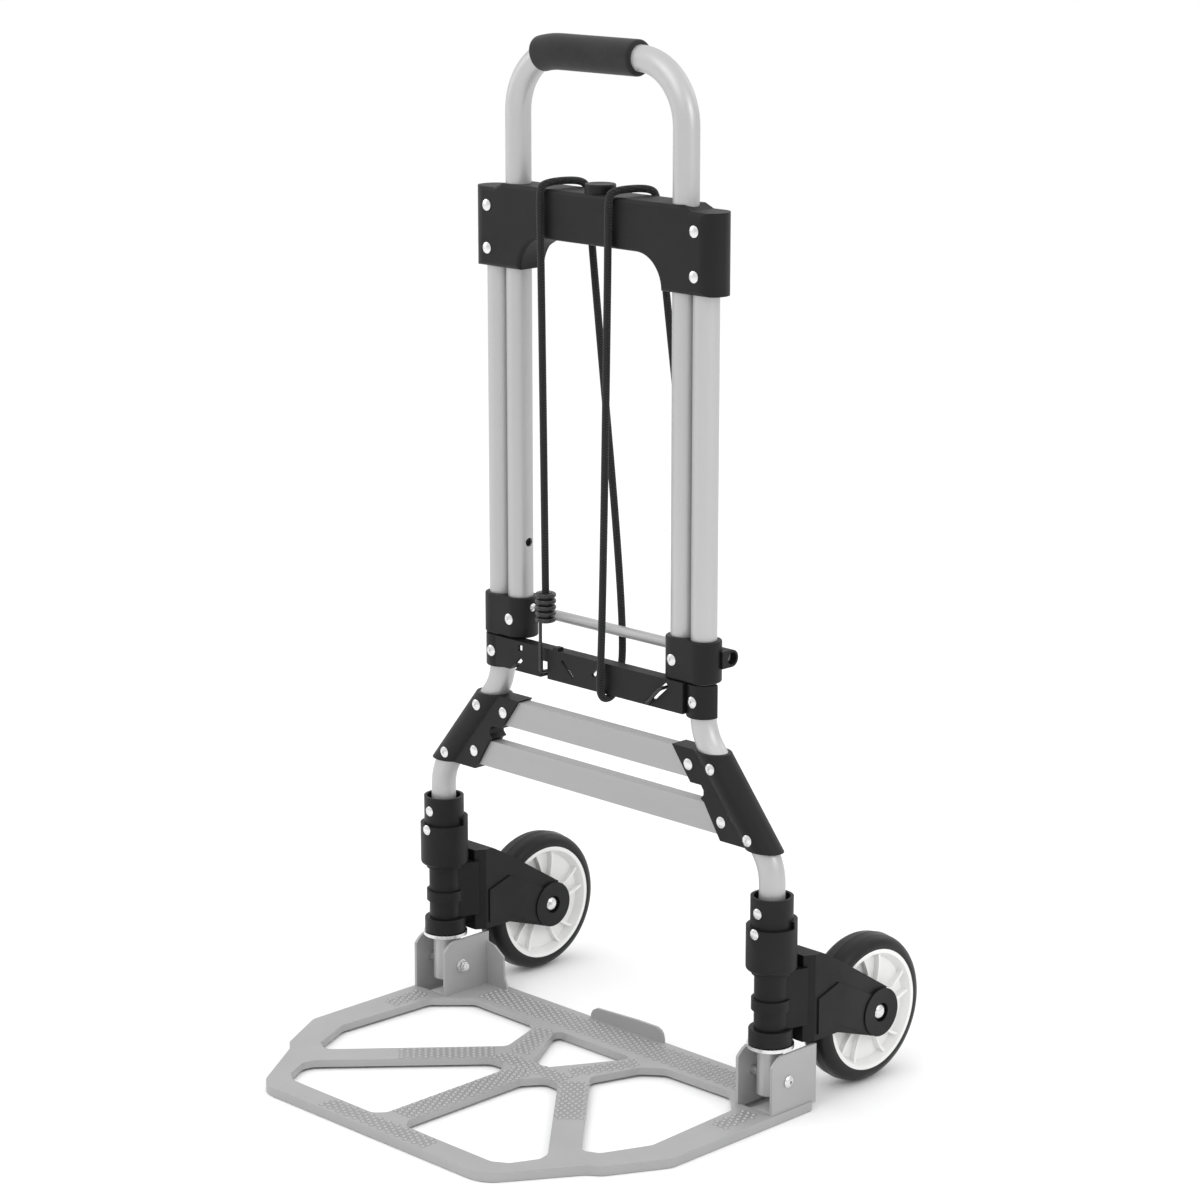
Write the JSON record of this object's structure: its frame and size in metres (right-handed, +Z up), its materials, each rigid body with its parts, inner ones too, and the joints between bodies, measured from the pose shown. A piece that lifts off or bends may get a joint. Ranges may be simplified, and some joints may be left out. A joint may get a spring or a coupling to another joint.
{
  "type": "folding luggage cart",
  "caption": "Folding luggage cart with telescopic U handle, foam grip, bungee cord, fold-up toe plate and swing-in wheels.",
  "frame": {"origin": "on the floor, midway between the two tubes, under the plane of the tube axes", "axes": "+Z up, -Y towards the toe plate's front edge, +X to the right seen from the rear"},
  "size_m": [0.386, 0.3875, 0.7584],
  "materials": {
    "tube_aluminium": "satin anodised tube",
    "bar_aluminium": "satin flat section",
    "black_plastic": "moulded, fine grain",
    "grip_foam": "closed-cell foam",
    "plate_paint": "grey powder coat",
    "rim_plastic": "pale moulded plastic",
    "tyre_rubber": "smooth rubber",
    "bright_steel": "zinc plated",
    "spring_steel": "drawn wire",
    "cord_fabric": "braided sleeve",
    "hook_wire": "plastic dipped wire"
  },
  "bodies": {
    "frame": {"frame_tube_left": "tube_aluminium", "frame_tube_right": "tube_aluminium", "joint_shell_left": "black_plastic", "joint_shell_right": "black_plastic", "cam_housing_left": "black_plastic", "cam_housing_right": "black_plastic", "collar_left": "black_plastic", "collar_right": "black_plastic", "housing_spring_left": "spring_steel", "housing_spring_right": "spring_steel", "pivot_bolt_left": "bright_steel", "pivot_bolt_right": "bright_steel", "yoke_front": "black_plastic", "yoke_rear": "black_plastic", "yoke_rivets": "bright_steel", "hook_bar": "black_plastic", "hook_bar_screws": "bright_steel", "joint_screws": "bright_steel", "bar_rivets": "bright_steel", "housing_rivets": "bright_steel", "pivot_bushes": "bright_steel", "cross_bar_upper": "bar_aluminium", "cross_bar_lower": "bar_aluminium", "washer_left": "bright_steel", "washer_right": "bright_steel", "bungee_cord": "cord_fabric", "hook_left": "hook_wire", "hook_right": "hook_wire"},
    "handle": {"handle_tube": "tube_aluminium", "grip": "grip_foam", "slider_screws": "bright_steel", "side_screws": "bright_steel", "slider_bracket_left": "black_plastic", "slider_bracket_right": "black_plastic", "cross_rod": "tube_aluminium"},
    "release": {"button": "black_plastic", "button_spring": "spring_steel"},
    "pin_left": {"lock_pin_left": "spring_steel"},
    "pin_right": {"lock_pin_right": "spring_steel"},
    "plate": {"toe_plate": "plate_paint", "hinge_ears_left": "plate_paint", "hinge_ears_right": "plate_paint"},
    "swivel_left": {"fork_left": "black_plastic", "axle_left": "bright_steel", "wheel_spacers_left": "bright_steel"},
    "swivel_right": {"fork_right": "black_plastic", "axle_right": "bright_steel", "wheel_spacers_right": "bright_steel"},
    "wheel_left": {"rim_left": "rim_plastic", "tyre_left": "tyre_rubber"},
    "wheel_right": {"rim_right": "rim_plastic", "tyre_right": "tyre_rubber"}
  },
  "joints": [
    {"name": "handle_slide", "type": "slide", "parent": "frame", "child": "handle", "axis": [0, 0, 1], "range_m": [0, 0.242]},
    {"name": "button_press", "type": "slide", "parent": "frame", "child": "release", "axis": [0, 0, -1], "range_m": [0, 0.005], "deforming": ["button_spring"]},
    {"name": "pin_left_draw", "type": "slide", "parent": "frame", "child": "pin_left", "axis": [1, 0, 0], "range_m": [0, 0.004]},
    {"name": "pin_right_draw", "type": "slide", "parent": "frame", "child": "pin_right", "axis": [-1, 0, 0], "range_m": [0, 0.004]},
    {"name": "plate_fold", "type": "hinge", "parent": "frame", "child": "plate", "pos_m": [0, 0, 0.029], "axis": [-1, 0, 0], "range_deg": [0, 90]},
    {"name": "fork_left_turn", "type": "hinge", "parent": "frame", "child": "swivel_left", "pos_m": [-0.172, 0, 0.09], "axis": [0, 0, -1], "range_deg": [0, 90]},
    {"name": "fork_right_turn", "type": "hinge", "parent": "frame", "child": "swivel_right", "pos_m": [0.172, 0, 0.09], "axis": [0, 0, 1], "range_deg": [0, 90]},
    {"name": "wheel_left_spin", "type": "hinge", "parent": "swivel_left", "child": "wheel_left", "pos_m": [-0.172, 0.0985, 0.056], "axis": [1, 0, 0], "continuous": true},
    {"name": "wheel_right_spin", "type": "hinge", "parent": "swivel_right", "child": "wheel_right", "pos_m": [0.172, 0.0985, 0.056], "axis": [1, 0, 0], "continuous": true}
  ],
  "couplings": [
    {"joint": "pin_left_draw", "follows": "button_press", "ratio": 0.8},
    {"joint": "pin_right_draw", "follows": "button_press", "ratio": 0.8},
    {"joint": "fork_left_turn", "follows": "plate_fold", "ratio": 1},
    {"joint": "fork_right_turn", "follows": "plate_fold", "ratio": 1}
  ]
}
